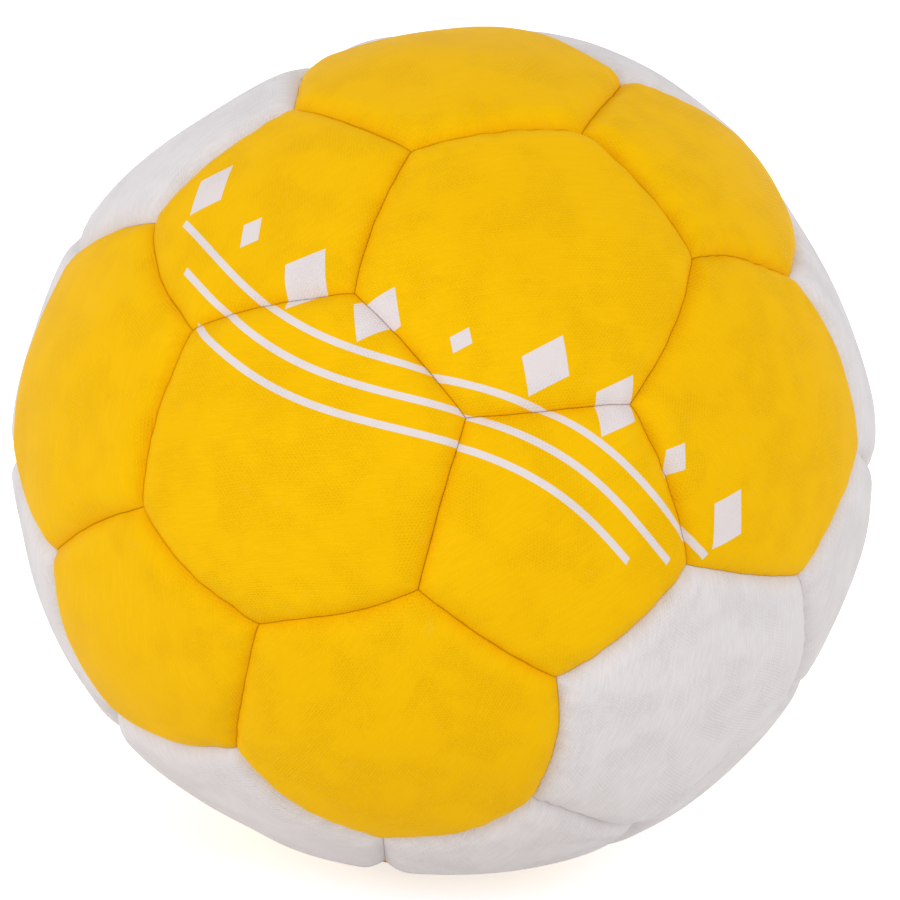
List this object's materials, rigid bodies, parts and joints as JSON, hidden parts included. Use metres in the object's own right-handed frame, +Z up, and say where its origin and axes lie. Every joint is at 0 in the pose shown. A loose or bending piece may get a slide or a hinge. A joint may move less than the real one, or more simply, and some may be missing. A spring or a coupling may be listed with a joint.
{
  "type": "handball",
  "caption": "Round inflated handball sewn from yellow and white pentagon and hexagon panels, with rolled seams, foam lining, rubber bladder and a needle valve.",
  "frame": {"origin": "centre of the ball", "axes": "+Z up through the middle of the top hexagon, -Y towards the front, +Y and +Z towards the valve"},
  "size_m": [0.1748, 0.175, 0.175],
  "materials": {
    "yellow_cover": "satin synthetic leather with a fine woven grain",
    "white_cover": "satin synthetic leather with a fine woven grain",
    "foam": "closed-cell foam",
    "backing_cloth": "plain woven cotton",
    "thread": "waxed polyester",
    "bladder_rubber": "matt",
    "ring_cloth": "rubberised cloth",
    "valve_rubber": "matt",
    "core_rubber": "matt"
  },
  "bodies": {
    "root": {"yellow_hexagon_01": "yellow_cover", "yellow_hexagon_02": "yellow_cover", "yellow_hexagon_03": "yellow_cover", "yellow_hexagon_04": "yellow_cover", "yellow_hexagon_05": "yellow_cover", "yellow_hexagon_06": "yellow_cover", "yellow_hexagon_07": "yellow_cover", "yellow_hexagon_08": "yellow_cover", "yellow_hexagon_09": "yellow_cover", "yellow_hexagon_10": "yellow_cover", "yellow_hexagon_11": "yellow_cover", "yellow_hexagon_12": "yellow_cover", "white_hexagon_01": "white_cover", "white_hexagon_02": "white_cover", "white_hexagon_03": "white_cover", "white_hexagon_04": "white_cover", "white_hexagon_05": "white_cover", "white_hexagon_06": "white_cover", "white_hexagon_07": "white_cover", "white_hexagon_08": "white_cover", "yellow_pentagon_01": "yellow_cover", "yellow_pentagon_02": "yellow_cover", "yellow_pentagon_03": "yellow_cover", "yellow_pentagon_04": "yellow_cover", "yellow_pentagon_05": "yellow_cover", "yellow_pentagon_06": "yellow_cover", "yellow_pentagon_07": "yellow_cover", "yellow_pentagon_08": "yellow_cover", "white_pentagon_01": "white_cover", "white_pentagon_02": "white_cover", "white_pentagon_03": "white_cover", "valve_pentagon": "white_cover", "hexagon_foam_pads": "foam", "pentagon_foam_pads": "foam", "valve_foam_pad": "foam", "hexagon_backing_cloths": "backing_cloth", "pentagon_backing_cloths": "backing_cloth", "valve_backing_cloth": "backing_cloth", "seam_thread": "thread", "bladder": "bladder_rubber", "valve_ring": "ring_cloth", "valve_housing": "valve_rubber", "valve_core": "core_rubber"}
  },
  "joints": []
}
